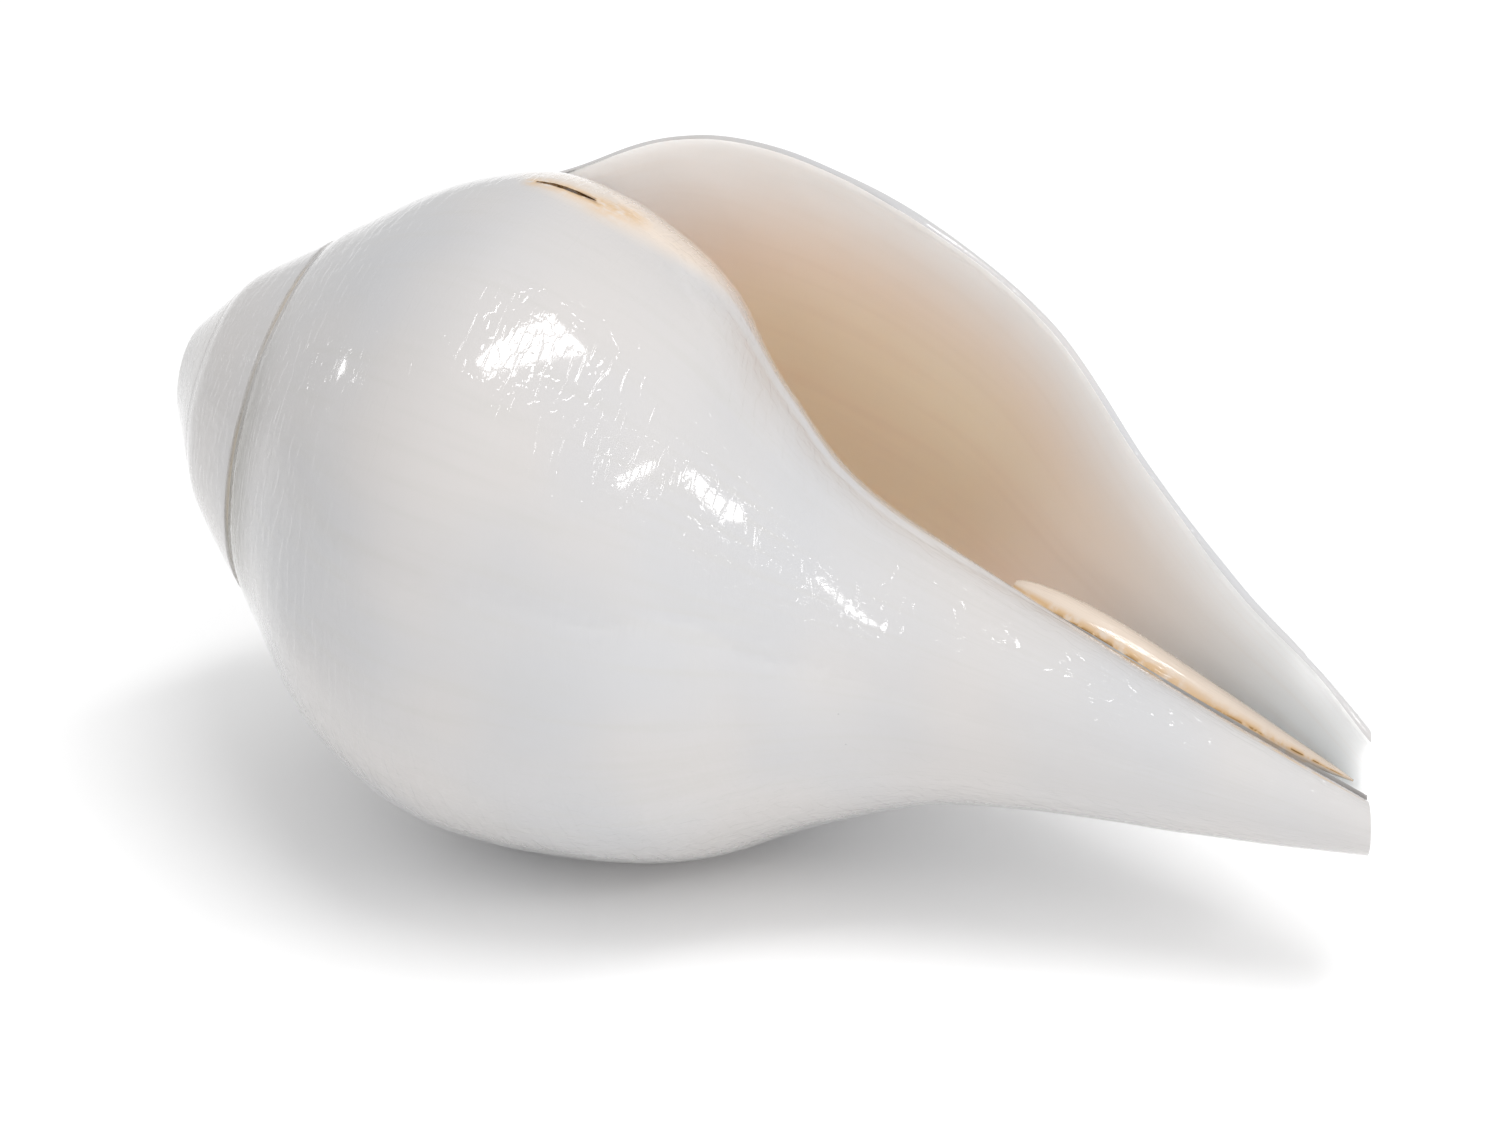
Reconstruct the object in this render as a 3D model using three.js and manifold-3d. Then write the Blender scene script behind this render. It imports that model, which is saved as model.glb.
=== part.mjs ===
// A left-handed conch shell: a smooth pear-shaped sea shell, grown as one piece of white porcelain-like
// shell round one axis. Millimetres, +Z up. It lies on its side with its canal to +X.
//
// The shell is one outline that turns about the axis and grows. A point of the outline has a height along
// the axis, from the tip of the spire towards the canal, and a radius from it. The growth angle is 0 at the
// suture end of the outer lip, and falls by one turn for each whorl back to the tip of the spire.
import * as THREE from 'three';
import * as BufferGeometryUtils from 'three/addons/utils/BufferGeometryUtils.js';
import Module from 'manifold-3d';

const TURN = 2 * Math.PI;

// The outline of the last whorl as [height, radius], from the suture to the open end of the canal. The
// third point is where the next whorl would join it, and is worked out from the suture.
const OUTLINE = [
  [30.6, 32.1], [39.5, 39], null, [65, 47.5], [83.5, 45.5],
  [101.5, 39.5], [118, 28], [132, 19.6], [146.5, 13.3], [165, 3],
];
const JOIN = 2;
const CANAL_END = 165;
const SPIRE_TIP = 3;
const WHORLS = 4.3;

// How far in the suture and the shoulder beside it lie on the last whorl, in height and radius. On the
// worn spire the earlier whorls are flush.
const SUTURE = { inwards: [[0.4, -0.8], [-1, -2]], from: -1.6, span: 0.6 };

// Growth for each radian, of the height and of the radius.
const SPIRE_GROWTH = [0.092, 0.063];
const BODY_GROWTH = [0.066, 0.039];
const CANAL_GROWTH = [0, 0.145];
const CANAL_START = 0.7;

// How far the outer lip runs on past the growth angle 0, in radians, from the suture to the canal's end.
const LIP = [0, 0.05, 0.25, 0.3, 0.46, 0.46];
const LIP_SPAN = 2;

// Thickness of the wall from the suture to the canal's end. It thins to the edge of the lip, and at the
// back it is thicker. The callus is a layer over the earlier whorl inside the mouth.
const WALL = [2.5, 3, 3, 3, 2.5, 2];
const LIP_EDGE = 1.2;
const LIP_TAPER = 0.6;
const BACK_WALL = 4;
const BACK_WALL_SPAN = 4.6;
const CALLUS = 0.5;

// Behind the mouth the canal is a solid pillar: by how much, and where along and round it begins.
const PILLAR = { depth: 12, along: 0.62, alongSpan: 0.2, back: 1.2, backSpan: 2 };

// The ridge on the columella, in the mouth: along the outline and round the axis.
const RIDGE = {
  along: [0.845, 0.945], angles: [-0.25, -0.35], lift: 2, radius: 2.4, ends: [0.02, 0.98], steps: 12, sides: 8,
};

// The two ends bend a little to one side: the canal and the spire.
const BEND_TOWARDS = 3.36;
const BENDS = [{ by: 0.6, from: 120, span: 40 }, { by: 0.8, from: 35, span: -30 }];

// The cuts across the end of the canal and the corner of the lip. Each is a plane square to a line that
// leans from the axis.
const CUTS = [
  { reach: 69.4, lean: 0.45, towards: -0.444 },
  { reach: 52.6, lean: 0.842, towards: -0.114 },
];
const CUT_FROM = 80;
const CUT_SIZE = 80;

// How the shell lies: the angle round its axis that is underneath, and the dip of the axis, in degrees.
// It stands on a small flat, worn to this depth.
const REST = { side: 221.4, dip: 11.2, flat: 0.4 };

// Rings in one turn, steps along the outline, and the rings of the spire and of the hollow.
const RINGS = 36;
const STEPS = 27;
const JOIN_STEP = (STEPS * JOIN) / (OUTLINE.length - 1);
const SPIRE_RINGS = 140;
const HOLLOW_RINGS = [-44.5, 2.5];
const HOLLOW_STEPS = 18;
const HOLLOW_MIDDLE = 0.4;
const NUDGE = 0.004;
const HALVINGS = 16;
const SHORTEST_EDGE = 0.02;

const wasm = await Module();
wasm.setup();

const clamp = (x) => Math.min(Math.max(x, 0), 1);
const mix = (a, b, t) => a + (b - a) * t;

function ease(x) {
  const t = clamp(x);
  return t * t * (3 - 2 * t);
}

function smoothCurve(points) {
  const corners = points.map(([x, y]) => new THREE.Vector3(x, y, 0));
  return new THREE.CatmullRomCurve3(corners, false, 'catmullrom', 0.5);
}

const lipCurve = smoothCurve(LIP.map((value) => [value, 0]));
const wallCurve = smoothCurve(WALL.map((value) => [value, 0]));

// A corner of the outline moved back or on by a growth angle.
function grown([height, radius], rates, angle) {
  const age = Math.max(1 + angle / (WHORLS * TURN), 0);
  const grow = (rate) => age ** (rate * WHORLS * TURN);
  return [SPIRE_TIP + (height - SPIRE_TIP) * grow(rates[0]), radius * grow(rates[1])];
}

// The suture, at index 0, or the shoulder, at 1.
function spireCorner(index, angle) {
  const depth = ease((angle / TURN - SUTURE.from) / SUTURE.span);
  const inwards = SUTURE.inwards[index];
  return grown(OUTLINE[index], SPIRE_GROWTH, angle).map((value, i) => value + inwards[i] * depth);
}

function cornerAt(index, angle) {
  if (index < JOIN) return spireCorner(index, angle);
  if (index === JOIN) return spireCorner(0, angle + TURN);
  const canal = ease((index / (OUTLINE.length - 1) - CANAL_START) / (1 - CANAL_START));
  const rates = BODY_GROWTH.map((rate, i) => mix(rate, CANAL_GROWTH[i], canal));
  return grown(OUTLINE[index], rates, angle);
}

// The outside at a growth angle, as [height, radius] at each place s along the outline, 0 to 1.
function outsideAt(angle) {
  const curve = smoothCurve(OUTLINE.map((_, index) => cornerAt(index, angle)));
  return (s) => {
    const { x, y } = curve.getPoint(s);
    return [x, y];
  };
}

// The same outline moved out by a thickness, square to itself.
function movedOut(angle, s, thickness) {
  const outside = outsideAt(angle);
  const [before, after] = [outside(clamp(s - NUDGE)), outside(clamp(s + NUDGE))];
  const along = new THREE.Vector2(after[0] - before[0], after[1] - before[1]).normalize();
  const [height, radius] = outside(s);
  return [height - along.y * thickness, radius + along.x * thickness];
}

// The growth angle of a ring at a place along the outline: rings near the lip bend to its edge.
function ringAngle(ring, s) {
  const angle = (ring / RINGS) * TURN;
  return angle + lipCurve.getPoint(s).x * ease((angle + LIP_SPAN) / LIP_SPAN);
}

function inSpace(angle, [height, radius]) {
  const bend = BENDS.reduce((sum, { by, from, span }) => sum + by * ease((height - from) / span), 0);
  const [x, y] = [radius * Math.cos(angle), radius * Math.sin(angle)];
  return [x + bend * Math.cos(BEND_TOWARDS), y + bend * Math.sin(BEND_TOWARDS), height];
}

function solidOf(points, faces) {
  const vertProperties = Float32Array.from(points.flat());
  const triVerts = Uint32Array.from(faces.flat());
  return new wasm.Manifold(new wasm.Mesh({ numProp: 3, vertProperties, triVerts }));
}

const square = (a, b, c, d) => [[a, b, c], [a, c, d]];

// The points of the outside, each made once: the two on the axis, then those on the rings. Each whorl
// begins on the one before, so the join one turn back is the same point as the suture.
function outsidePoints() {
  const points = [inSpace(0, [SPIRE_TIP, 0]), inSpace(0, [CANAL_END, 0])];
  const known = new Map();
  const point = (ring, step) => {
    if (step === JOIN_STEP && ring + RINGS <= 0) return point(ring + RINGS, 0);
    const key = `${ring} ${step}`;
    if (!known.has(key)) {
      const angle = ringAngle(ring, step / STEPS);
      known.set(key, points.push(inSpace(angle, outsideAt(angle)(step / STEPS))) - 1);
    }
    return known.get(key);
  };
  return { points, point };
}

// The face across the mouth, from the lip to the whorl one turn back.
function mouthFaces(point) {
  const faces = [[1, point(0, STEPS), point(-RINGS, STEPS)]];
  for (let step = 1; step < JOIN_STEP; step += 1) {
    faces.push([point(0, step + 1), point(0, step), point(0, 0)]);
  }
  for (let step = JOIN_STEP; step < STEPS; step += 1) {
    faces.push(...square(point(0, step), point(-RINGS, step), point(-RINGS, step + 1), point(0, step + 1)));
  }
  return faces;
}

// The whole outside, filled, as one closed surface.
function filledOutside() {
  const { points, point } = outsidePoints();
  const faces = mouthFaces(point);
  for (let ring = -SPIRE_RINGS; ring < 0; ring += 1) {
    const last = ring < -RINGS ? JOIN_STEP : STEPS;
    for (let step = 0; step < last; step += 1) {
      const [a, b] = [point(ring, step), point(ring + 1, step)];
      faces.push(...square(a, b, point(ring + 1, step + 1), point(ring, step + 1)));
    }
    if (last === STEPS) faces.push([1, point(ring, STEPS), point(ring + 1, STEPS)]);
    if (ring < RINGS - SPIRE_RINGS) faces.push([0, point(ring + 1, 0), point(ring, 0)]);
  }
  for (let step = 0; step < JOIN_STEP; step += 1) {
    faces.push([0, point(-SPIRE_RINGS, step), point(-SPIRE_RINGS, step + 1)]);
  }
  return solidOf(points, faces);
}

// Halves a range until it finds where a test turns true.
function turningPoint(test, from, to) {
  let [low, high] = [from, to];
  for (let i = 0; i < HALVINGS; i += 1) {
    const middle = (low + high) / 2;
    if (test(middle)) high = middle;
    else low = middle;
  }
  return low;
}

const angleBack = (ring) => -(ring / RINGS) * TURN;

function wallAt(ring, s) {
  const back = angleBack(ring);
  const thicker = BACK_WALL * Math.sin(Math.PI * clamp(back / BACK_WALL_SPAN)) ** 2;
  return mix(LIP_EDGE, wallCurve.getPoint(s).x + thicker, ease(back / LIP_TAPER));
}

// How much nearer the axis the hollow stays than the wall's inside, for the pillar.
function pillarAt(ring, s) {
  const along = ease((s - PILLAR.along) / PILLAR.alongSpan);
  return PILLAR.depth * along * ease((angleBack(ring) - PILLAR.back) / PILLAR.backSpan);
}

// The hollow at a ring and a place along the outline: its height, its radius inside the wall, and the
// radius of the earlier whorl.
function hollowAt(ring, s) {
  const angle = ringAngle(ring, s);
  const [height, radius] = movedOut(angle, s, -wallAt(ring, s));
  const earlier = (t) => movedOut(angle - TURN, t, CALLUS);
  const core = earlier(turningPoint((t) => earlier(t)[0] > height, 0, 1))[1];
  return { angle, height, outer: radius - pillarAt(ring, s), core };
}

// One ring of the hollow: a crescent between the wall and the earlier whorl, out along one and back along
// the other.
function crescent(ring) {
  const isOpen = (s) => hollowAt(ring, s).outer > hollowAt(ring, s).core;
  const start = turningPoint(isOpen, 0, HOLLOW_MIDDLE);
  const end = turningPoint((s) => !isOpen(s), HOLLOW_MIDDLE, 1);
  const places = Array.from({ length: HOLLOW_STEPS + 1 }, (_, i) => {
    return hollowAt(ring, mix(start, end, i / HOLLOW_STEPS));
  });
  const wall = places.map(({ angle, height, outer, core }, i) => {
    const isCorner = i === 0 || i === HOLLOW_STEPS;
    return inSpace(angle, [height, isCorner ? (outer + core) / 2 : outer]);
  });
  const whorl = places.slice(1, -1).map(({ angle, height, core }) => inSpace(angle, [height, core]));
  return [...wall, ...whorl.reverse()];
}

// The flat end of the hollow, as the faces of one crescent.
function crescentFaces(across) {
  const faces = [];
  for (let i = 0; i < HOLLOW_STEPS; i += 1) {
    if (i + 1 < HOLLOW_STEPS) faces.push([i, i + 1, across - i - 1]);
    if (i > 0) faces.push([i, across - i - 1, across - i]);
  }
  return faces;
}

// A closed tube through rings of points, with the given faces at its ends.
function tube(rings, endFaces) {
  const across = rings[0].length;
  const lastRing = (rings.length - 1) * across;
  const faces = endFaces.map((face) => face.map((i) => i + lastRing).reverse());
  faces.push(...endFaces);
  for (let from = 0; from < lastRing; from += across) {
    for (let side = 0; side < across; side += 1) {
      const [to, next] = [from + across, (side + 1) % across];
      faces.push(...square(from + side, to + side, to + next, from + next));
    }
  }
  return solidOf(rings.flat(), faces);
}

function hollow() {
  const [first, last] = HOLLOW_RINGS;
  const rings = Array.from({ length: last - first + 1 }, (_, i) => crescent(first + i));
  return tube(rings, crescentFaces(2 * HOLLOW_STEPS));
}

// One ring of the ridge, at t along it from 0 to 1.
function ridgeRing(t) {
  const angle = mix(...RIDGE.angles, t) - TURN;
  const [height, radius] = movedOut(angle, mix(...RIDGE.along, t), RIDGE.lift);
  const thick = RIDGE.radius * Math.sqrt(Math.sin(Math.PI * mix(...RIDGE.ends, t)));
  return Array.from({ length: RIDGE.sides }, (_, side) => {
    const turned = -(side / RIDGE.sides) * TURN;
    const [out, across] = [radius + thick * Math.cos(turned), thick * Math.sin(turned)];
    return inSpace(angle + Math.atan2(across, out), [height, Math.hypot(out, across)]);
  });
}

function ridge() {
  const rings = Array.from({ length: RIDGE.steps + 1 }, (_, step) => ridgeRing(step / RIDGE.steps));
  const endFaces = Array.from({ length: RIDGE.sides - 2 }, (_, side) => [0, side + 1, side + 2]);
  return tube(rings, endFaces);
}

// Everything past one of the cuts.
function pastCut({ reach, lean, towards }) {
  const box = new THREE.BoxGeometry(CUT_SIZE, CUT_SIZE, CUT_SIZE);
  box.translate(0, 0, CUT_SIZE / 2 + reach);
  box.rotateY(lean);
  box.rotateZ(towards);
  box.translate(0, 0, CUT_FROM);
  box.deleteAttribute('normal');
  box.deleteAttribute('uv');
  const { attributes, index } = BufferGeometryUtils.mergeVertices(box);
  const vertProperties = Float32Array.from(attributes.position.array);
  const triVerts = Uint32Array.from(index.array);
  return new wasm.Manifold(new wasm.Mesh({ numProp: 3, vertProperties, triVerts }));
}

// The cut that makes the flat underneath: a little short of the point that reaches lowest.
function flatCut(solid) {
  const [lean, towards] = [90 - REST.dip, REST.side].map(THREE.MathUtils.degToRad);
  const down = new THREE.Vector3(Math.sin(lean), 0, Math.cos(lean));
  down.applyAxisAngle(new THREE.Vector3(0, 0, 1), towards);
  const { vertProperties } = solid.getMesh();
  let reach = 0;
  for (let i = 0; i < vertProperties.length; i += 3) {
    const point = new THREE.Vector3(...vertProperties.subarray(i, i + 3));
    reach = Math.max(reach, point.dot(down) - CUT_FROM * down.z);
  }
  return { reach: reach - REST.flat, lean, towards };
}

const larger = (a, b) => (a.volume() > b.volume() ? a : b);

function shellGeometry() {
  const uncut = filledOutside().subtract(hollow()).add(ridge());
  const cuts = [...CUTS, flatCut(uncut)];
  const solid = cuts.reduce((rest, cut) => rest.subtract(pastCut(cut)), uncut);
  const mesh = solid.decompose().reduce(larger).simplify(SHORTEST_EDGE).getMesh();
  const geometry = new THREE.BufferGeometry();
  geometry.setAttribute('position', new THREE.BufferAttribute(mesh.vertProperties, 3));
  geometry.setIndex(new THREE.BufferAttribute(mesh.triVerts, 1));
  geometry.computeVertexNormals();
  return geometry;
}

const porcelain = new THREE.MeshStandardMaterial({ name: 'porcelain', color: 0xd4d2d0, roughness: 0.25 });
const shell = new THREE.Mesh(shellGeometry(), porcelain);
shell.name = 'shell';

// Laid on its side: turned about its own axis, then laid down along X with the canal lower.
const laid = new THREE.Group();
laid.add(shell);
shell.rotation.set(0, 0, THREE.MathUtils.degToRad(-REST.side));
laid.rotation.set(0, THREE.MathUtils.degToRad(90 + REST.dip), 0);
const part = new THREE.Group();
part.add(laid);
part.updateMatrixWorld(true);
const box = new THREE.Box3().setFromObject(part, true);
const middle = box.getCenter(new THREE.Vector3());
laid.position.set(-middle.x, -middle.y, -box.min.z);

export default part;
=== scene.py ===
import math

import bpy
import numpy as np
from mathutils import Matrix, Vector


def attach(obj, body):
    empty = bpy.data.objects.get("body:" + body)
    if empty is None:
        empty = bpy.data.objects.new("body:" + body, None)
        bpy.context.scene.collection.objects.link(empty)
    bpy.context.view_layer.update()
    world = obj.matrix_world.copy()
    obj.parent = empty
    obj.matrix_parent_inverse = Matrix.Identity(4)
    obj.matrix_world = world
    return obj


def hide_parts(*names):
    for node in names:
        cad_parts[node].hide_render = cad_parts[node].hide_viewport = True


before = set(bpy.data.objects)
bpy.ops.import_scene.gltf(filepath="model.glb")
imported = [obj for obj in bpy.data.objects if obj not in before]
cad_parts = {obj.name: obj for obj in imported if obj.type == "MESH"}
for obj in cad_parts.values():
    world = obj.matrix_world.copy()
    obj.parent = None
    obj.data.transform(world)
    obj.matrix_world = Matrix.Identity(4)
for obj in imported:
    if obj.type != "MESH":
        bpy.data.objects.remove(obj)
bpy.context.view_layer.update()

# The shell is one outline that turns about the axis and grows, in the same terms as the solid of the
# frame, in millimetres. A point has a growth angle round the axis, 0 at the suture end of the outer lip,
# and a place s along the outline, 0 at the suture and 1 at the open end of the canal. A pair that rise() is
# given says where a change starts and over what span.
TURN = 2 * math.pi
MM = 0.001

# The corners of the outline as (height, radius). At JOIN it meets the suture of the whorl before. Then its
# largest radius, and the heights of the canal's end and the spire's tip.
OUTLINE = [
    (30.6, 32.1), (39.5, 39), None, (65, 47.5), (83.5, 45.5),
    (101.5, 39.5), (118, 28), (132, 19.6), (146.5, 13.3), (165, 3),
]
JOIN = 2
MOUTH_RADIUS = OUTLINE[3][1]
CANAL_END = 165
SPIRE_TIP = 3

# The shell starts this many turns before the lip. The corners of its spire, body and canal grow by these
# rates to the radian at the lip, in height and radius. The canal's come in from a place along the outline.
WHORLS = 4.3
SPIRE_GROWTH = (0.092, 0.063)
BODY_GROWTH = (0.066, 0.039)
CANAL_GROWTH = (0, 0.145)
CANAL_START = 0.7

# The axis bends towards one side, each time by some millimetres, from a height on and over a span of it.
BEND_TOWARDS = 3.36
BENDS = [(0.6, 120, 40), (0.8, 35, -30)]

# How far the suture and the shoulder move, in height and radius, and over which turns. The groove along the
# suture: its depth, its width, and the turns over which it comes in.
SUTURE_IN = [(0.4, -0.8), (-1, -2)]
SUTURE_TURNS = (-1.6, 0.6)
GROOVE_DEPTH = 0.25
GROOVE_WIDTH = 6
GROOVE_TURNS = (-1, 0.2)

# The outer lip: its growth angle from the suture to the canal, the angle over which rings bend to it, the
# radius of its rounding, how thick its edge is, and the angle over which the wall thins to it.
LIP = (0, 0.05, 0.25, 0.3, 0.46, 0.46)
LIP_SPAN = 2
LIP_ROUND = 0.6
LIP_EDGE = 1.2
LIP_TAPER = 0.6

# The wall from the suture to the canal, and how much thicker it gets at the back, over a span of angle.
WALL = (2.5, 3, 3, 3, 2.5, 2)
BACK_WALL = 4
BACK_WALL_SPAN = 4.6

# The hollow: its turns, a place where it is always open, and the thickness of the callus over the earlier
# whorl. The pillar behind the mouth: its depth, and where it comes in along the outline and going back.
HOLLOW_TURNS = (-1.236, 0.069)
HOLLOW_MIDDLE = 0.4
CALLUS = 0.5
PILLAR_DEPTH = 12
PILLAR_ALONG = (0.62, 0.2)
PILLAR_BACK = (1.2, 2)

# The callus runs out of the mouth onto the last whorl, up to this growth angle past the lip, from the
# suture to the canal's end. It is this high there, its edge is this wide, in radians, and along the
# outline it rises at one place and fades at another. Its beige has an edge and places of its own.
CALLUS_EDGE = (0, 0, 0.3, 0.615, 0.61, 0.5, 0.51, 0.62, 0.35, 0.1)
CALLUS_LIFT = 0.35
CALLUS_STEP = 0.03
CALLUS_RISE = (0.37, 0.06)
CALLUS_FADE = (0.8, 0.08)
BEIGE_EDGE = 0.07
BEIGE_RISE = (0.22, 0.15)
BEIGE_FADE = (0.5, 0.1)

# The ridge on the columella: its ends along the outline and round the axis, how far its middle is out from
# the surface, its radius, a power that moves its thickest place to its start, and one that blunts it.
RIDGE_ALONG = (0.84, 0.968)
RIDGE_ANGLES = (-0.27, -0.35)
RIDGE_LIFT = 1.9
RIDGE_RADIUS = 2.8
RIDGE_LEAN = 0.55
RIDGE_TAPER = 0.8

# The slit under the end of the lip: its ends as (growth angle, s), half the width and half the depth of the
# tube that cuts it, the share of that by which the tube is sunk, and how far it waves along the outline.
SLIT = [(-5.71, 0.32), (-5.735, 0.392)]
SLIT_HALF = 1
SLIT_DEPTH = 1.6
SLIT_SINK = 0.75
SLIT_WAVE = 0.0015

# The cuts: how far the plane is from the axis's point at this height, how far its normal leans from the
# axis, and towards which side. The block that cuts is CUT_SIZE wide at the plane and as deep. At its far
# end, half its width is CUT_FLARE times that.
CUTS = [(69.4, 0.45, -0.444), (52.6, 0.842, -0.114)]
CUT_FROM = 80
CUT_SIZE = 80
CUT_FLARE = 3

# How the shell lies, in degrees: the side that is underneath, and the dip of the axis. The flat it
# stands on is this deep.
REST_SIDE = 221.4
REST_DIP = 11.2
REST_FLAT = 0.4

# Low waves that hand polishing leaves: their number, lengths and height.
WAVES = 24
WAVE_LENGTHS = (9, 20)
WAVE_HEIGHT = 0.06
SEED = 7

# How fine the mesh is: rings in one turn, drawn together beside the mouth, steps along the outline, turns
# of the spire, rows that round the lip, and the steps and sides of the hollow, the ridge and the slit. A
# tube starts and ends at these shares of its length, so that its ends aren't points.
RINGS = 120
RING_PULL = 0.6
STEPS = 216
JOIN_STEP = STEPS * JOIN // (len(OUTLINE) - 1)
SPIRE_TURNS = 3.89
LIP_ROWS = 3
HOLLOW_STEPS = 120
RIDGE_STEPS = 60
RIDGE_SIDES = 20
SLIT_STEPS = 40
SLIT_SIDES = 12
TUBE_ENDS = (0.01, 0.99)
SHARP_DEGREES = 40

# A small move that shows which way the surface runs, and how often a range is halved to find a place in it.
NUDGE = 0.004
HALVINGS = 18

# The regions of the surface. The UV map holds s plus this step for each region while the shell is cut.
OUTSIDE, INSIDE, COLUMELLA, RIDGE, CUT, SLIT_SIDE = range(6)
REGION_STEP = 2

# About how many millimetres a radian of the growth angle is, and the whole outline.
ARC_MM = 45
OUTLINE_MM = 190

# The tan of the mouth deepens with the growth angle back from the lip, or from this angle on the
# columella, and fades towards the canal.
TAN_BACK = 0.95
TAN_COLUMELLA = 0.75
TAN_ALONG = (0.5, 0.43)

# Stains, as a line of (growth angle, s) places, its spread in millimetres, how strong it is, and where it is:
# along the slit, past its end, under the ridge near its start, along it and near its end, and past it. On the
# ridge the angle is the turn round it. Where a line is strongest its core is painted shade, in and beside the
# slit and on the ridge near its start and its end.
STAINS = [
    (SLIT, 1.9, 1, OUTSIDE),
    ([(-5.73, 0.4), (-5.79, 0.43)], 3.2, 0.7, OUTSIDE),
    ([(2.02, 0.85), (2.02, 0.875)], 9, 1, RIDGE),
    ([(2.05, 0.88), (2.1, 0.94)], 4, 0.4, RIDGE),
    ([(2.1, 0.935), (2.2, 0.945)], 9, 1, RIDGE),
    ([(-5.62, 0.934), (-5.54, 0.954)], 3, 0.5, OUTSIDE),
]

# The line of the suture is this wide. The strip beside it is darkened by painted shade up to a place along
# the outline, and most at one growth angle, fading both ways from there.
SUTURE_LINE = 0.6
CHANNEL_ALONG = (0.045, 0.1)
CHANNEL_AT = -3.75
CHANNEL_SPAN = 1.45

# The colours.
COOL_WHITE = (0.475, 0.475, 0.485, 1)
WARM_WHITE = (0.515, 0.495, 0.485, 1)
LINE_GREY = (0.47, 0.46, 0.44, 1)
BEIGE = (0.67, 0.57, 0.48, 1)
AMBER = (0.60, 0.34, 0.09, 1)
# The painted shade at the core of the strongest stains, in the slit and by the ridge.
PAINTED_SHADE_AMBER = (0.2, 0.1, 0.03, 1)
# The painted shade of the strip beside the suture.
CHANNEL_SHADE_GREY = (0.26, 0.25, 0.225, 1)
SUTURE_BROWN = (0.48, 0.40, 0.30, 1)
SPECK_GREY = (0.1, 0.1, 0.12, 1)
LINING_GREY = (0.76, 0.775, 0.78, 1)
LINING_TAN = (0.99, 0.80, 0.67, 1)
LINING_LINE = (0.72, 0.62, 0.54, 1)
FLOOR_WHITE = (0.95, 0.95, 0.95, 1)

# Patches of noise: the scale to the metre, the detail, the range of the noise that fades in, and the values
# that it fades between.
CLOUDS = (28.0, 2, (0.35, 0.65), (0, 1))
STAIN_BREAKS = (700.0, 3, (0.25, 0.55), (0, 1))
SUTURE_BREAKS = (90.0, 2, (0.35, 0.6), (0.2, 0.7))
GLOSS = (180.0, 2, (0.3, 0.7), (0.05, 0.1))
LINING_GLOSS = (120.0, 2, (0.3, 0.7), (0.3, 0.4))
LINING_GRAIN = (300.0, 2)

# The same for noise that is drawn out with the growth. Its scale is to the millimetre, round the axis and
# along the outline.
GROWTH_LINES = ((0.5, 0.03, 1), 4, (0.45, 0.75), (0, 0.35))
LINING_LINES = ((0.4, 0.02, 1), 3, (0.45, 0.75), (0, 0.12))
STREAKS = ((0.12, 0.5, 1), 1, (0.44, 0.54), (0, 1))
CRACKS = ((0.35, 0.25, 1), 2, (0.46, 0.53), (0, 1))

# How deep the bumps seem, in metres. In this range of its strength an amber mark turns to painted shade, dark
# at its core. Specks: their scale, the range in which their edge fades, and how strong they are.
STREAK_DEPTH = 0.00004
CRACK_DEPTH = 0.00002
GRAIN_DEPTH = 0.00004
STAIN_SHADE_CORE = (0.6, 1.0)
SPECK_SCALE = 60.0
SPECK_EDGE = (0.01, 0.016)
SPECK_SHARE = 0.8

# What is the same all over the outside, the lining and the floor.
POLISHED = {"Specular IOR Level": 0.1, "Coat Weight": 1, "Coat Roughness": 0.07}
SATIN = {"Subsurface Weight": 1, "Subsurface Radius": (1, 1, 1), "Subsurface Scale": 0.006}
MATT = {"Base Color": FLOOR_WHITE, "Roughness": 0.9}

# The point that the camera looks at, and how far back it is, in millimetres. The softboxes: direction in
# the camera's right, up and back, distance and size in metres, power in watts, and whether the gloss
# reflects it.
TARGET = Vector((-0.94, -2.92, 38.66))
CAMERA_BACK = 550
CAMERA_RIGHT = (0.917, 0.400, -0.007)
CAMERA_TOWARD = (0.3515, -0.797, 0.492)
LENS_MM = 112.2
SENSOR_MM = 36
SHIFT = (-0.0027, 0.0067)
CLIP_START = 0.01
SOFTBOXES = [
    ("overhead", (0.12, 0.78, 0.6), 0.9, (0.5, 0.12), 2.4, True),
    ("top", (0.1, 0.85, 0.4), 1.3, (1.2, 0.8), 3, False),
    ("front", (0.45, 0.3, 0.85), 1.3, (1.4, 1), 3, False),
    ("low", (0.3, -0.38, 0.87), 1, (1, 0.15), 2.4, False),
    ("strip", (0.55, 0.31, 0.78), 0.9, (0.35, 0.05), 0.6, True),
    ("side", (0.9, 0.24, 0.36), 0.9, (0.12, 0.16), 0.6, True),
    ("far", (-0.86, 0.51, -0.1), 0.9, (0.05, 0.05), 0.08, True),
]
WORLD_STRENGTH = 0.7
FLOOR_HALF = 3


def ease(x):
    t = np.clip(x, 0, 1)
    return t * t * (3 - 2 * t)


def rise(value, place):
    """0 up to a place and 1 once its span is past."""
    start, span = place
    return ease((value - start) / span)


def mix(a, b, t):
    return a + (b - a) * t


def spline(corners, t):
    """Catmull-Rom through corners (points, corners, values), at one place t from 0 to 1 for each point."""
    first = 2 * corners[:, :1] - corners[:, 1:2]
    last = 2 * corners[:, -1:] - corners[:, -2:-1]
    corners = np.concatenate([first, corners, last], axis=1)
    spans = corners.shape[1] - 3
    span = np.clip(np.floor(t * spans).astype(int), 0, spans - 1)
    w = (t * spans - span)[:, None]
    rows = np.arange(len(t))
    a, b, c, d = (corners[rows, span + k] for k in range(4))
    start, end = (c - a) / 2, (d - b) / 2
    return b + w * (start + w * (3 * (c - b) - 2 * start - end + w * (2 * (b - c) + start + end)))


def along(values, s):
    """A value that varies smoothly along the outline."""
    corners = np.tile(np.array(values, float)[None, :, None], (len(s), 1, 1))
    return spline(corners, s)[:, 0]


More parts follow.
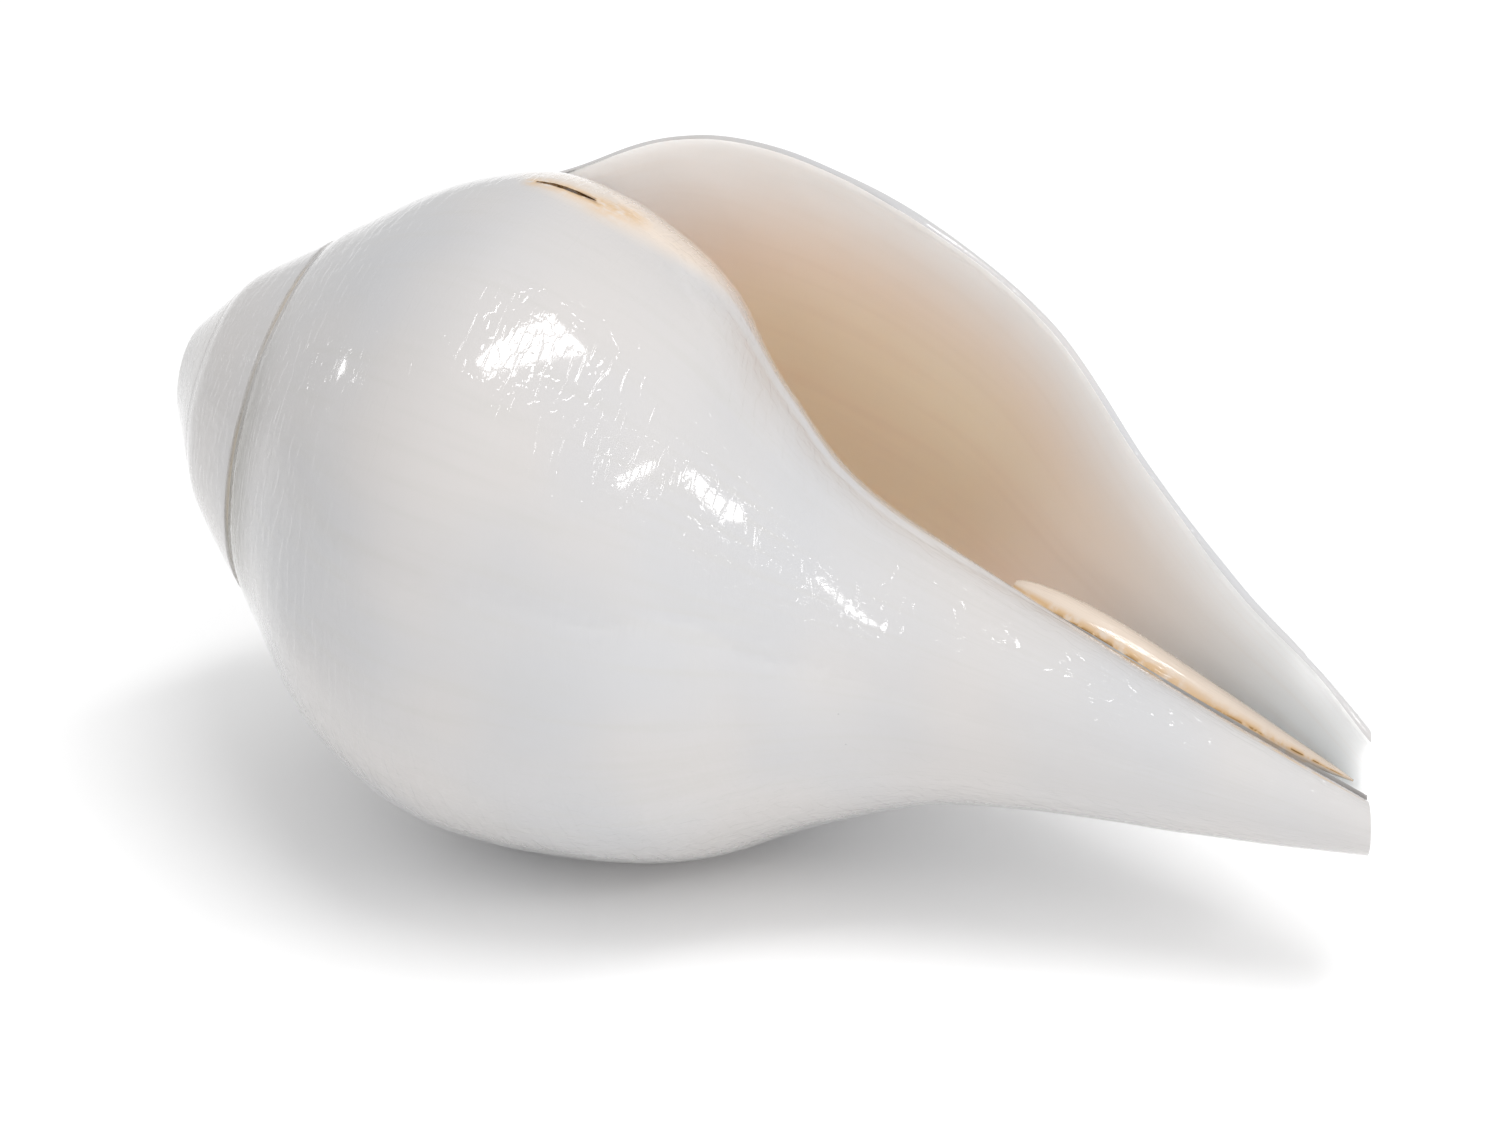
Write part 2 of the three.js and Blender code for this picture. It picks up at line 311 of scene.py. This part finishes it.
def grown(corner, rates, angle):
    """A corner of the outline moved back or on by a growth angle, as (height, radius)."""
    age = np.maximum(1 + angle / (WHORLS * TURN), 0)
    height, radius = (age ** (rate * WHORLS * TURN) for rate in rates)
    return np.stack([SPIRE_TIP + (corner[0] - SPIRE_TIP) * height, corner[1] * radius], axis=-1)


def spire_corner(index, angle):
    """The suture, at index 0, or the shoulder beside it, at 1."""
    depth = rise(angle / TURN, SUTURE_TURNS)
    return grown(OUTLINE[index], SPIRE_GROWTH, angle) + depth[:, None] * np.array(SUTURE_IN[index])


def corner_at(index, angle):
    if index < JOIN:
        return spire_corner(index, angle)
    if index == JOIN:
        return spire_corner(0, angle + TURN)
    canal = ease((index / (len(OUTLINE) - 1) - CANAL_START) / (1 - CANAL_START))
    rates = [mix(rate, last, canal) for rate, last in zip(BODY_GROWTH, CANAL_GROWTH)]
    return grown(OUTLINE[index], rates, angle)


def outside(angle, s):
    """Height and radius of the outside at growth angles and places along the outline."""
    corners = np.stack([corner_at(i, angle) for i in range(len(OUTLINE))], axis=1)
    return spline(corners, s)


def moved_out(angle, s, thickness):
    """The outside moved out by a thickness, square to its outline."""
    before, after = outside(angle, np.clip(s - NUDGE, 0, 1)), outside(angle, np.clip(s + NUDGE, 0, 1))
    run = after - before
    run /= np.linalg.norm(run, axis=1)[:, None]
    return outside(angle, s) + np.stack([-run[:, 1], run[:, 0]], axis=1) * np.reshape(thickness, (-1, 1))


def lip_angle(angle, s):
    """Rings near the lip bend to its edge."""
    return angle + along(LIP, s) * ease((angle + LIP_SPAN) / LIP_SPAN)


def callus_lift(angle, s):
    """How far the callus stands out from the last whorl beside the mouth."""
    past = angle + TURN
    beside = 1 - ease((past - along(CALLUS_EDGE, s)) / CALLUS_STEP)
    fade = rise(s, CALLUS_RISE) * (1 - rise(s, CALLUS_FADE))
    return CALLUS_LIFT * beside * fade * (past > -CALLUS_STEP)


def groove(angle, s):
    """How deep the groove along the suture is."""
    across = np.exp(-(s * OUTLINE_MM / GROOVE_WIDTH) ** 2)
    return GROOVE_DEPTH * across * rise(angle / TURN, GROOVE_TURNS)


def in_space(angle, place):
    """Points in space from growth angles and from heights and radii."""
    height, radius = place[:, 0], place[:, 1]
    bend = sum(by * ease((height - start) / span) for by, start, span in BENDS)
    x = radius * np.cos(angle) + bend * math.cos(BEND_TOWARDS)
    y = radius * np.sin(angle) + bend * math.sin(BEND_TOWARDS)
    return np.stack([x, y, height], axis=1)


def mesh_of(name, points, faces, places, regions):
    """A mesh whose UV map holds the growth angle and the place s of each corner, with the face's region.
    Faces that have a point twice are left out."""
    whole = np.array([len(set(face)) == len(face) for face in faces])
    regions = np.broadcast_to(regions, len(faces))[whole]
    faces = [face for face, keep in zip(faces, whole) if keep]
    mesh = bpy.data.meshes.new(name)
    mesh.from_pydata([tuple(p) for p in points], [], faces)
    layer = mesh.uv_layers.new(name="place")
    corner = np.empty(len(mesh.loops), int)
    mesh.loops.foreach_get("vertex_index", corner)
    place = np.array(places, float)[corner]
    place[:, 1] += REGION_STEP * np.repeat(regions, [len(face) for face in faces])
    layer.data.foreach_set("uv", place.astype(np.float32).ravel())
    made = bpy.data.objects.new(name, mesh)
    bpy.context.scene.collection.objects.link(made)
    return made


def outside_grid():
    """The index of each point of the outside, by ring and step, and the ring and step of each point."""
    first = -round(SPIRE_TURNS * RINGS)
    known, order = {}, []

    def index(ring, step):
        if step == JOIN_STEP and ring + RINGS <= 0:
            return index(ring + RINGS, 0)
        if ring > 0 and step in (0, STEPS):
            return index(0, step)
        if (ring, step) not in known:
            known[ring, step] = len(order)
            order.append((ring, step))
        return known[ring, step]

    return first, index, order


def square(a, b, c, d):
    """Two triangles between four points."""
    return [(a, b, c), (a, c, d)]


def mouth_faces(index):
    """The faces that close the mouth, from the lip to the ring one turn before."""
    faces = []
    for step in range(1, JOIN_STEP):
        faces.append((index(LIP_ROWS, step + 1), index(LIP_ROWS, step), index(0, 0)))
    for step in range(JOIN_STEP, STEPS):
        faces += square(index(LIP_ROWS, step), index(-RINGS, step),
                        index(-RINGS, step + 1), index(LIP_ROWS, step + 1))
    return faces


def outside_faces(first, index):
    """The faces of the whole outside. The last two points are the canal's end and the spire's tip."""
    tip, end = -1, -2
    faces = [(end, index(0, STEPS), index(-RINGS, STEPS))]
    faces += mouth_faces(index)
    for ring in range(first, LIP_ROWS):
        last = JOIN_STEP if ring < -RINGS else STEPS
        for step in range(last):
            faces += square(index(ring, step), index(ring + 1, step),
                            index(ring + 1, step + 1), index(ring, step + 1))
        if last == STEPS:
            faces.append((end, index(ring, STEPS), index(ring + 1, STEPS)))
        if ring < RINGS + first:
            faces.append((tip, index(ring + 1, 0), index(ring, 0)))
    for step in range(JOIN_STEP):
        faces.append((tip, index(first, step), index(first, step + 1)))
    return faces


def filled_outside():
    """The whole outside, filled, as one closed surface with a rounded lip."""
    first, index, order = outside_grid()
    faces = outside_faces(first, index)
    ring, step = np.array(order, float).T
    s = step / STEPS
    rounding = np.clip(ring / LIP_ROWS, 0, 1) * TURN / 4
    turned = np.minimum(ring, 0) / RINGS * TURN
    angle = lip_angle(turned - RING_PULL * np.sin(turned), s)
    lift = callus_lift(angle, s) - groove(angle, s) - LIP_ROUND * (1 - np.cos(rounding))
    place = moved_out(angle, s, lift)
    angle = angle + LIP_ROUND * np.sin(rounding) / np.maximum(place[:, 1], 1)
    ends = in_space(np.zeros(2), np.array([(CANAL_END, 0), (SPIRE_TIP, 0)], float))
    points = np.concatenate([in_space(angle, place), ends])
    faces = [tuple(i % len(points) for i in face) for face in faces]
    places = np.concatenate([np.stack([angle, s], axis=1), [(0, 1), (-SPIRE_TURNS * TURN, 0)]])
    return mesh_of("outside", points, faces, places, OUTSIDE)


def turning_point(test, low, high):
    """Halves ranges until they show where a test turns true."""
    for _ in range(HALVINGS):
        middle = (low + high) / 2
        true = test(middle)
        low, high = np.where(true, low, middle), np.where(true, middle, high)
    return low


def wall_at(angle, s):
    """The thickness of the wall: it thins to the lip, is thicker at the back and is rounded at its edge."""
    back = -angle
    thicker = BACK_WALL * np.sin(math.pi * np.clip(back / BACK_WALL_SPAN, 0, 1)) ** 2
    wall = mix(LIP_EDGE, along(WALL, s) + thicker, ease(back / LIP_TAPER))
    edge = np.clip(1 - back * MOUTH_RADIUS / LIP_ROUND, 0, 1)
    return wall - (LIP_EDGE - LIP_ROUND) * (1 - np.sqrt(1 - edge ** 2))


def hollow_at(ring_angle, s):
    """The hollow at rings and places: angle, height, radius inside the wall, and the radius and the place
    on the whorl before."""
    angle = lip_angle(ring_angle, s)
    height, radius = moved_out(angle, s, -wall_at(ring_angle, s)).T

    def earlier(t):
        return moved_out(angle - TURN, t, CALLUS)

    core_s = turning_point(lambda t: earlier(t)[:, 0] > height, np.zeros(len(s)), np.ones(len(s)))
    pillar = PILLAR_DEPTH * rise(s, PILLAR_ALONG) * rise(-ring_angle, PILLAR_BACK)
    return angle, height, radius - pillar, earlier(core_s)[:, 1], core_s


def tube_faces(rings, across, end_faces):
    faces = [tuple(i + (rings - 1) * across for i in reversed(face)) for face in end_faces]
    faces += end_faces
    for start in range(0, (rings - 1) * across, across):
        for side in range(across):
            near, far = start + side, start + (side + 1) % across
            faces += square(near, near + across, far + across, far)
    return faces


def fan(sides):
    """The faces of a tube's round end."""
    return [(0, side + 1, side + 2) for side in range(sides - 2)]


def crescent_faces(steps):
    """The faces of a tube's end that runs out in steps and back in as many."""
    faces = []
    for i in range(steps):
        if i + 1 < steps:
            faces.append((i, i + 1, 2 * steps - i - 1))
        if i > 0:
            faces.append((i, 2 * steps - i - 1, 2 * steps - i))
    return faces


def hollow_reach(ring_angle):
    """Where along the outline the hollow starts and ends, for each ring."""
    def is_open(s):
        _, _, outer, core, _ = hollow_at(ring_angle, s)
        return outer > core

    rings = len(ring_angle)
    middle = np.full(rings, HOLLOW_MIDDLE)
    start = turning_point(is_open, np.zeros(rings), middle)
    end = turning_point(lambda s: ~is_open(s), middle, np.ones(rings))
    return start[:, None], end[:, None]


def hollow_rows(ring_angle):
    """Points of the hollow with their growth angles and places, as (x, y, z, angle, s): in each ring out
    along the wall and back along the whorl before."""
    t = np.linspace(0, 1, HOLLOW_STEPS + 1)
    s = mix(*hollow_reach(ring_angle), t[None, :]).ravel()
    angle, height, outer, core, core_s = hollow_at(np.repeat(ring_angle, len(t)), s)
    corner = np.tile((t == 0) | (t == 1), len(ring_angle))
    outer = np.where(corner, (outer + core) / 2, outer)
    wall = np.column_stack([in_space(angle, np.column_stack([height, outer])), angle, s])
    whorl = np.column_stack([in_space(angle, np.column_stack([height, core])), angle, core_s])
    grid = (len(ring_angle), len(t), wall.shape[1])
    rows = np.concatenate([wall.reshape(grid), whorl.reshape(grid)[:, -2:0:-1]], axis=1)
    return rows.reshape(-1, wall.shape[1])


def hollow():
    """A closed tube of crescents, from deep inside to just past the lip."""
    rings = round((HOLLOW_TURNS[1] - HOLLOW_TURNS[0]) * RINGS) + 1
    rows = hollow_rows(np.linspace(*HOLLOW_TURNS, rings) * TURN)
    ends = crescent_faces(HOLLOW_STEPS)
    sides = np.repeat([INSIDE, COLUMELLA], 2 * HOLLOW_STEPS)
    regions = np.concatenate([np.full(2 * len(ends), INSIDE), np.tile(sides, rings - 1)])
    faces = tube_faces(rings, 2 * HOLLOW_STEPS, ends)
    return mesh_of("hollow", rows[:, :3], faces, rows[:, 3:], regions)


def ridge():
    """A tapered tube that lies on the columella. Its places hold the turn round the tube, not the axis."""
    t = np.linspace(0, 1, RIDGE_STEPS + 1)
    s, angle = mix(*RIDGE_ALONG, t), mix(*RIDGE_ANGLES, t) - TURN
    middle = moved_out(angle, s, RIDGE_LIFT)
    thick = RIDGE_RADIUS * np.sin(math.pi * mix(*TUBE_ENDS, t) ** RIDGE_LEAN) ** RIDGE_TAPER
    turned = math.pi - np.arange(RIDGE_SIDES) / RIDGE_SIDES * TURN
    out = middle[:, 1][:, None] + thick[:, None] * np.cos(turned)
    across = thick[:, None] * np.sin(turned)
    around = (angle[:, None] + np.arctan2(across, out)).ravel()
    height = np.repeat(middle[:, 0], RIDGE_SIDES)
    points = in_space(around, np.stack([height, np.hypot(out, across).ravel()], axis=1))
    places = np.stack([np.tile(turned, len(t)), np.repeat(s, RIDGE_SIDES)], axis=1)
    return mesh_of("ridge", points, tube_faces(len(t), RIDGE_SIDES, fan(RIDGE_SIDES)), places, RIDGE)


def unit(vectors):
    return vectors / np.linalg.norm(vectors, axis=1)[:, None]


def surface_frame(angle, s):
    """Points of the outside, and there the directions out and along the run of the points."""
    def at(angle, s):
        return in_space(angle, outside(angle, s))

    points = at(angle, s)
    around = at(angle + NUDGE, s) - at(angle - NUDGE, s)
    out = unit(np.cross(around, at(angle, s + NUDGE) - at(angle, s - NUDGE)))
    away = points * (1, 1, 0)
    out *= np.sign((out * away).sum(axis=1))[:, None]
    return points, out, unit(np.gradient(points, axis=0))


def slit():
    """A flat pointed tube that cuts the slit under the end of the lip."""
    t = np.linspace(0, 1, SLIT_STEPS + 1)
    (angle_from, s_from), (angle_to, s_to) = SLIT
    angle = mix(angle_from, angle_to, t)
    s = mix(s_from, s_to, t) + SLIT_WAVE * np.sin(2 * TURN * t)
    points, out, run = surface_frame(angle, s)
    across = np.cross(out, run)
    size = np.sqrt(np.sin(math.pi * mix(*TUBE_ENDS, t)))[:, None, None]
    turned = -np.arange(SLIT_SIDES) / SLIT_SIDES * TURN
    offset = SLIT_HALF * np.cos(turned)[None, :, None] * across[:, None]
    offset = offset + SLIT_DEPTH * (np.sin(turned)[None, :, None] - SLIT_SINK) * out[:, None]
    points = points[:, None] + offset * size
    places = np.repeat(np.stack([angle, s], axis=1), SLIT_SIDES, axis=0)
    faces = tube_faces(len(t), SLIT_SIDES, fan(SLIT_SIDES))
    return mesh_of("slit", points.reshape(-1, 3), faces, places, SLIT_SIDE)


def past_cut(reach, lean, towards):
    """A block of everything past one of the cuts. It widens away from the cut, so that no step is left."""
    half = (CUT_SIZE / 2, CUT_SIZE * CUT_FLARE)
    corners = [(x, y, z) for x in (-1, 1) for y in (-1, 1) for z in (0, 1)]
    points = [Vector((x * half[z], y * half[z], z * CUT_SIZE)) for x, y, z in corners]
    turned = Matrix.Rotation(towards, 3, "Z") @ Matrix.Rotation(lean, 3, "Y")
    points = [turned @ (p + Vector((0, 0, reach))) + Vector((0, 0, CUT_FROM)) for p in points]
    faces = [(0, 1, 3, 2), (4, 6, 7, 5), (0, 4, 5, 1), (2, 3, 7, 6), (0, 2, 6, 4), (1, 5, 7, 3)]
    return mesh_of("cut", points, faces, [(0, 1)] * len(points), CUT)


def vertices_of(mesh):
    co = np.empty(len(mesh.vertices) * 3, np.float32)
    mesh.vertices.foreach_get("co", co)
    return co.reshape(-1, 3)


def flat_cut(shell):
    """The cut that makes the flat underneath: a little short of the point that reaches lowest."""
    lean, towards = math.radians(90 - REST_DIP), math.radians(REST_SIDE)
    down = Vector((math.sin(lean) * math.cos(towards), math.sin(lean) * math.sin(towards), math.cos(lean)))
    reach = (vertices_of(shell.data) @ np.array(down)).max() - CUT_FROM * down.z
    return reach - REST_FLAT, lean, towards


def combine(target, tool, operation):
    """Joins one closed surface to another, or cuts it out, and removes it."""
    modifier = target.modifiers.new("combine", "BOOLEAN")
    modifier.object = tool
    modifier.operation = operation
    modifier.solver = "MANIFOLD"
    graph = bpy.context.evaluated_depsgraph_get()
    mesh = bpy.data.meshes.new_from_object(target.evaluated_get(graph), depsgraph=graph)
    target.modifiers.clear()
    target.data = mesh
    bpy.data.objects.remove(tool)


def polish(mesh):
    """Moves the surface in and out by low waves in random directions."""
    dice = np.random.default_rng(SEED)
    waves = unit(dice.normal(size=(WAVES, 3))) * TURN / dice.uniform(*WAVE_LENGTHS, (WAVES, 1))
    starts = dice.uniform(0, TURN, WAVES)
    points = vertices_of(mesh)
    height = np.sin(points @ waves.T + starts).sum(axis=1) * WAVE_HEIGHT / math.sqrt(WAVES)
    normals = np.empty(len(mesh.vertices) * 3, np.float32)
    mesh.vertex_normals.foreach_get("vector", normals)
    points = points + height[:, None] * normals.reshape(-1, 3)
    mesh.vertices.foreach_set("co", points.astype(np.float32).ravel())


def tan_share(region, angle, s):
    """How tan the surface is inside the mouth."""
    back = np.where(region == INSIDE, along(LIP, s), TAN_COLUMELLA) - angle
    share = ease(back / TAN_BACK) * (1 - rise(s, TAN_ALONG))
    return share * np.isin(region, (INSIDE, COLUMELLA))


def beige_share(region, angle, s):
    """How beige the surface is: on the callus beside the mouth, and all over the ridge."""
    past = angle + TURN - along(CALLUS_EDGE, s)
    on_callus = (region == OUTSIDE) * (angle > -TURN) * (1 - ease((past + BEIGE_EDGE) / (2 * BEIGE_EDGE)))
    fade = rise(s, BEIGE_RISE) * (1 - rise(s, BEIGE_FADE))
    return np.where(region == RIDGE, 1, on_callus * fade)


def near_line(angle, s, line, spread):
    """1 on a line of (growth angle, s) places, falling off with the distance from it, in millimetres."""
    scale = np.array([ARC_MM, OUTLINE_MM])
    points = np.stack([angle, s], axis=1) * scale
    nearest = np.full(len(points), np.inf)
    for start, end in zip(line, line[1:]):
        start, end = np.array(start) * scale, np.array(end) * scale
        run = end - start
        t = np.clip((points - start) @ run / (run @ run), 0, 1)
        nearest = np.minimum(nearest, np.linalg.norm(points - start - t[:, None] * run, axis=1))
    return np.exp(-(nearest / spread) ** 2)


def stain_and_shade_share(region, angle, s):
    """How amber the surface is: in the slit, and where the stains are. Where it is strongest, painted shade
    darkens it.
    """
    share = (region == SLIT_SIDE).astype(float)
    for line, spread, most, where in STAINS:
        share = np.maximum(share, most * near_line(angle, s, line, spread) * (region == where))
    return share


def suture_share(region, angle, s):
    """The line between the last whorl and the one before, from both sides."""
    from_join = np.where((angle > -2 * TURN) & (angle < -TURN), np.abs(s - JOIN_STEP / STEPS), 1)
    from_suture = np.where(angle > -TURN, s, from_join) * OUTLINE_MM
    return (region == OUTSIDE) * np.exp(-(from_suture / SUTURE_LINE) ** 2)


def channel_shade_share(region, angle, s):
    """How much painted shade darkens the strip beside the suture."""
    fade = 1 - ease(np.abs(angle - CHANNEL_AT) / CHANNEL_SPAN)
    return (region == OUTSIDE) * (1 - rise(s, CHANNEL_ALONG)) * fade


def add_attribute(mesh, name, values):
    made = mesh.attributes.new(name, "FLOAT" if values.ndim == 1 else "FLOAT_VECTOR", "CORNER")
    kind = "value" if values.ndim == 1 else "vector"
    made.data.foreach_set(kind, values.astype(np.float32).ravel())


def take_places(mesh):
    """Takes the UV map off the mesh, as the region, growth angle and place s of each corner."""
    uv = np.empty(len(mesh.loops) * 2, np.float32)
    mesh.uv_layers["place"].data.foreach_get("uv", uv)
    mesh.uv_layers.remove(mesh.uv_layers["place"])
    angle, v = uv.reshape(-1, 2).astype(float).T
    region = np.floor((v + 0.5) / REGION_STEP).astype(int)
    return region, angle, np.clip(v - REGION_STEP * region, 0, 1)


def mark_faces(mesh, region):
    """Lines the mouth, and shades everything but the cuts as smooth."""
    first = np.empty(len(mesh.polygons), int)
    mesh.polygons.foreach_get("loop_start", first)
    lined = np.isin(region[first], (INSIDE, COLUMELLA))
    mesh.polygons.foreach_set("material_index", lined.astype(int))
    mesh.polygons.foreach_set("use_smooth", region[first] != CUT)
    mesh.set_sharp_from_angle(angle=math.radians(SHARP_DEGREES))


def mark_regions(mesh):
    """Turns the UV map into materials for the regions and into attributes that the materials read."""
    region, angle, s = take_places(mesh)
    mark_faces(mesh, region)
    add_attribute(mesh, "grown", np.stack([angle * ARC_MM, s * OUTLINE_MM, 0 * s], axis=1))
    add_attribute(mesh, "tan", tan_share(region, angle, s))
    add_attribute(mesh, "beige", beige_share(region, angle, s))
    # Amber stains, whose strongest places become painted shade.
    add_attribute(mesh, "stain_and_shade", stain_and_shade_share(region, angle, s))
    add_attribute(mesh, "suture", suture_share(region, angle, s))
    # The painted shade of the strip beside the suture.
    add_attribute(mesh, "channel_shade", channel_shade_share(region, angle, s))


def node(tree, kind, inputs, **settings):
    """A new shader node, with settings and with inputs that are linked or set."""
    made = tree.nodes.new("ShaderNode" + kind)
    for name, value in settings.items():
        setattr(made, name, value)
    for key, value in inputs.items():
        if isinstance(value, bpy.types.NodeSocket):
            tree.links.new(value, made.inputs[key])
        else:
            made.inputs[key].default_value = value
    return made


def attribute(tree, name, output="Fac"):
    return node(tree, "Attribute", {}, attribute_name=name).outputs[output]


def object_space(tree):
    return node(tree, "TexCoord", {}).outputs["Object"]


def noise(tree, vector, scale, detail):
    return node(tree, "TexNoise", {"Vector": vector, "Scale": scale, "Detail": detail}).outputs["Fac"]


def times(tree, a, b):
    return node(tree, "Math", {0: a, 1: b}, operation="MULTIPLY").outputs[0]


def fade(tree, value, low, high, to_low=0.0, to_high=1.0):
    inputs = {"Value": value, "From Min": low, "From Max": high, "To Min": to_low, "To Max": to_high}
    return node(tree, "MapRange", inputs, interpolation_type="SMOOTHSTEP").outputs["Result"]


def blend(tree, share, a, b):
    inputs = {0: share, 6: a, 7: b}
    return node(tree, "Mix", inputs, data_type="RGBA").outputs[2]


def bump(tree, height, distance, normal=None):
    inputs = {"Height": height, "Distance": distance, "Strength": 1.0}
    if normal:
        inputs["Normal"] = normal
    return node(tree, "Bump", inputs).outputs["Normal"]


def patches(tree, look):
    """Patches of noise in space."""
    scale, detail, noise_range, values = look
    return fade(tree, noise(tree, object_space(tree), scale, detail), *noise_range, *values)


def drawn_out(tree, look):
    """Noise that is drawn out round the axis or along the outline."""
    stretch, detail, noise_range, values = look
    place = attribute(tree, "grown", "Vector")
    place = node(tree, "Mapping", {"Vector": place, "Scale": stretch}).outputs["Vector"]
    return fade(tree, noise(tree, place, 1.0, detail), *noise_range, *values)


def white(tree):
    """Clouds of cool and warm white, with faint growth lines."""
    colour = blend(tree, patches(tree, CLOUDS), COOL_WHITE, WARM_WHITE)
    return blend(tree, drawn_out(tree, GROWTH_LINES), colour, LINE_GREY)


def stained(tree, colour):
    """Beige where the callus is, and amber stains whose core is painted shade, dark brown, in the slit and
    near the ridge's ends.
    """
    colour = blend(tree, attribute(tree, "beige"), colour, BEIGE)
    stain_and_shade = times(tree, attribute(tree, "stain_and_shade"), patches(tree, STAIN_BREAKS))
    colour = blend(tree, stain_and_shade, colour, AMBER)
    # The dark core is painted shade of the slit and of the crevices by the ridge.
    return blend(tree, fade(tree, stain_and_shade, *STAIN_SHADE_CORE), colour, PAINTED_SHADE_AMBER)


def sutured(tree, colour):
    """Painted shade in the strip beside the suture, and the broken line of the suture itself."""
    # The painted shade of the strip beside the suture.
    colour = blend(tree, attribute(tree, "channel_shade"), colour, CHANNEL_SHADE_GREY)
    line = times(tree, attribute(tree, "suture"), patches(tree, SUTURE_BREAKS))
    return blend(tree, line, colour, SUTURE_BROWN)


def speckled(tree, colour):
    """A few small dark specks."""
    inputs = {"Vector": object_space(tree), "Scale": SPECK_SCALE}
    distance = node(tree, "TexVoronoi", inputs).outputs["Distance"]
    return blend(tree, fade(tree, distance, *SPECK_EDGE, SPECK_SHARE, 0), colour, SPECK_GREY)


def new_material(name, numbers):
    """A material, its nodes and its shader, with the numbers that are the same all over."""
    material = bpy.data.materials.new(name)
    material.use_nodes = True
    shader = material.node_tree.nodes["Principled BSDF"]
    for key, value in numbers.items():
        shader.inputs[key].default_value = value
    return material, material.node_tree, shader


def porcelain():
    """The polished outside, with streaks and cracks that break the gloss."""
    material, tree, shader = new_material("porcelain", POLISHED)
    colour = speckled(tree, sutured(tree, stained(tree, white(tree))))
    normal = bump(tree, drawn_out(tree, STREAKS), STREAK_DEPTH)
    normal = bump(tree, drawn_out(tree, CRACKS), CRACK_DEPTH, normal)
    tree.links.new(colour, shader.inputs["Base Color"])
    tree.links.new(patches(tree, GLOSS), shader.inputs["Roughness"])
    tree.links.new(normal, shader.inputs["Coat Normal"])
    return material


def lining():
    """The inside of the mouth: satin, from grey-white at the lip to tan further in."""
    material, tree, shader = new_material("lining", SATIN)
    colour = blend(tree, attribute(tree, "tan"), LINING_GREY, LINING_TAN)
    colour = blend(tree, drawn_out(tree, LINING_LINES), colour, LINING_LINE)
    normal = bump(tree, noise(tree, object_space(tree), *LINING_GRAIN), GRAIN_DEPTH)
    tree.links.new(colour, shader.inputs["Base Color"])
    tree.links.new(patches(tree, LINING_GLOSS), shader.inputs["Roughness"])
    tree.links.new(normal, shader.inputs["Normal"])
    return material


def build_shell():
    shell = filled_outside()
    combine(shell, hollow(), "DIFFERENCE")
    combine(shell, ridge(), "UNION")
    combine(shell, slit(), "DIFFERENCE")
    for cut in [*CUTS, flat_cut(shell)]:
        combine(shell, past_cut(*cut), "DIFFERENCE")
    polish(shell.data)
    shell.data.materials.clear()
    shell.data.materials.append(porcelain())
    shell.data.materials.append(lining())
    mark_regions(shell.data)
    shell.name = "conch"
    return shell


def lay_down(shell):
    """Turns the shell about its axis, lays it along X and sets it on the floor, as the frame's shell lies."""
    turn = Matrix.Rotation(math.radians(-REST_SIDE), 4, "Z")
    turn = Matrix.Rotation(math.radians(90 + REST_DIP), 4, "Y") @ turn
    shell.data.transform(Matrix.Scale(MM, 4) @ turn)
    points = vertices_of(shell.data)
    middle = (points.min(0) + points.max(0)) / 2
    shell.data.transform(Matrix.Translation((-middle[0], -middle[1], -points.min(0)[2])))


def camera():
    """The camera at the photograph's viewing angle. Returns its directions right, up and back."""
    made = bpy.data.cameras.new("camera")
    made.lens = LENS_MM
    made.sensor_width = SENSOR_MM
    made.shift_x, made.shift_y = SHIFT
    made.clip_start = CLIP_START
    holder = bpy.data.objects.new("camera", made)
    bpy.context.scene.collection.objects.link(holder)
    toward = Vector(CAMERA_TOWARD).normalized()
    up = toward.cross(Vector(CAMERA_RIGHT)).normalized()
    right = up.cross(toward)
    turned = Matrix((right, up, toward)).transposed().to_4x4()
    holder.matrix_world = Matrix.Translation((TARGET + toward * CAMERA_BACK) * MM) @ turned
    bpy.context.scene.camera = holder
    return right, up, toward


def softbox(name, direction, distance, size, power, reflected):
    """An area light in a direction from the shell, turned to it."""
    light = bpy.data.lights.new(name, "AREA")
    light.shape = "RECTANGLE"
    light.size, light.size_y = size
    light.energy = power
    holder = bpy.data.objects.new(name, light)
    holder.visible_camera = False
    holder.visible_glossy = reflected
    bpy.context.scene.collection.objects.link(holder)
    holder.location = TARGET * MM + direction * distance
    holder.rotation_mode = "QUATERNION"
    holder.rotation_quaternion = (-direction).to_track_quat("-Z", "Y")


def studio(axes):
    """The softboxes, placed from the camera's directions, and a white world."""
    for name, towards, distance, size, power, reflected in SOFTBOXES:
        direction = sum((axis * amount for axis, amount in zip(axes, towards)), Vector())
        softbox(name, direction.normalized(), distance, size, power, reflected)
    world = bpy.data.worlds.new("studio")
    world.use_nodes = True
    background = world.node_tree.nodes["Background"]
    background.inputs["Color"].default_value = (1, 1, 1, 1)
    background.inputs["Strength"].default_value = WORLD_STRENGTH
    bpy.context.scene.world = world
    bpy.context.scene.view_settings.view_transform = "Standard"


def floor():
    mesh = bpy.data.meshes.new("floor")
    corners = [(x * FLOOR_HALF, y * FLOOR_HALF, 0) for x, y in ((-1, -1), (1, -1), (1, 1), (-1, 1))]
    mesh.from_pydata(corners, [], [(0, 1, 2, 3)])
    made = bpy.data.objects.new("floor", mesh)
    bpy.context.scene.collection.objects.link(made)
    mesh.materials.append(new_material("floor", MATT)[0])


shell = build_shell()
lay_down(shell)
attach(shell, "root")
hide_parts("shell")
floor()
studio(camera())
